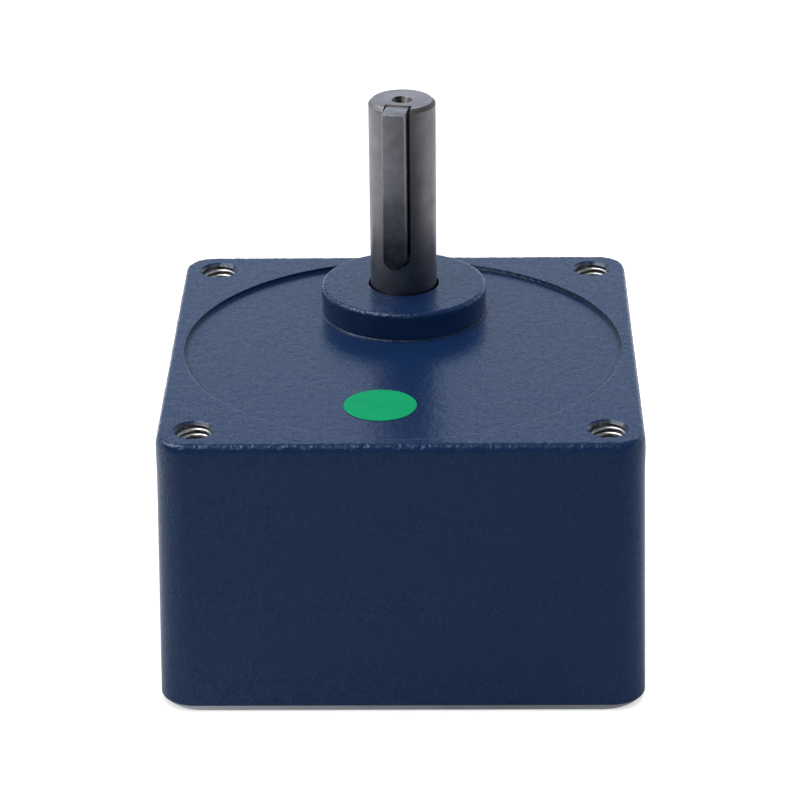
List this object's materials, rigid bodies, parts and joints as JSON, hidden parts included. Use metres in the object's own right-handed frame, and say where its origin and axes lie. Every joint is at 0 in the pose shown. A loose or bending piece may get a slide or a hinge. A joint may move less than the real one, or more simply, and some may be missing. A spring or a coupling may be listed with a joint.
{
  "type": "parallel-shaft gearhead",
  "caption": "Square painted gear case with an offset keyed output shaft on a round boss, tapped corner holes, a motor flange behind and a spur gear train inside.",
  "frame": {"origin": "centre of the motor face, on the motor's axis", "axes": "+Z along the output shaft towards its free end, +Y from the motor's axis to the output shaft"},
  "size_m": [0.07, 0.07, 0.075],
  "materials": {
    "case_paint": "dark blue enamel sprayed on die-cast aluminium, satin gloss",
    "bare_aluminium": "machined, unpainted",
    "shaft_steel": "ground, lightly oiled steel",
    "gear_steel": "hobbed steel, greased",
    "bearing_steel": "polished bearing steel",
    "sintered_bronze": "porous oil-filled bronze",
    "zinc_steel": "zinc-plated steel",
    "green_label": "green printed paper label, no text"
  },
  "bodies": {
    "housing": {"gear_case": "case_paint", "motor_flange": "bare_aluminium", "flange_screws": "zinc_steel", "inspection_label": "green_label", "front_bearing_outer_ring": "bearing_steel", "rear_bearing_outer_ring": "bearing_steel", "first_front_bush": "sintered_bronze", "first_rear_bush": "sintered_bronze", "second_front_bush": "sintered_bronze", "second_rear_bush": "sintered_bronze", "first_thrust_washers": "zinc_steel", "second_thrust_washers": "zinc_steel"},
    "output": {"output_shaft": "shaft_steel", "shaft_key": "shaft_steel", "output_gear": "gear_steel", "gear_key": "shaft_steel", "gear_retaining_ring": "zinc_steel", "front_bearing_inner_ring": "bearing_steel", "rear_bearing_inner_ring": "bearing_steel"},
    "front_cage": {"front_bearing_cage": "zinc_steel", "front_bearing_balls": "bearing_steel"},
    "rear_cage": {"rear_bearing_cage": "zinc_steel", "rear_bearing_balls": "bearing_steel"},
    "first_shaft": {"first_pinion_shaft": "gear_steel", "first_gear": "gear_steel"},
    "second_shaft": {"second_pinion_shaft": "gear_steel", "second_gear": "gear_steel"}
  },
  "joints": [
    {"name": "output_spin", "type": "hinge", "parent": "housing", "child": "output", "pos_m": [0, 0.015, 0], "axis": [0, 0, 1], "continuous": true},
    {"name": "second_spin", "type": "hinge", "parent": "housing", "child": "second_shaft", "pos_m": [-0.01551, 0.00174, 0], "axis": [0, 0, 1], "continuous": true},
    {"name": "first_spin", "type": "hinge", "parent": "housing", "child": "first_shaft", "pos_m": [-0.0062, -0.01366, 0], "axis": [0, 0, 1], "continuous": true},
    {"name": "front_cage_spin", "type": "hinge", "parent": "housing", "child": "front_cage", "pos_m": [0, 0.015, 0], "axis": [0, 0, 1], "continuous": true},
    {"name": "rear_cage_spin", "type": "hinge", "parent": "housing", "child": "rear_cage", "pos_m": [0, 0.015, 0], "axis": [0, 0, 1], "continuous": true}
  ],
  "couplings": [
    {"joint": "second_spin", "follows": "output_spin", "ratio": -2.4},
    {"joint": "first_spin", "follows": "output_spin", "ratio": 7.2},
    {"joint": "front_cage_spin", "follows": "output_spin", "ratio": 0.4},
    {"joint": "rear_cage_spin", "follows": "output_spin", "ratio": 0.41667}
  ]
}
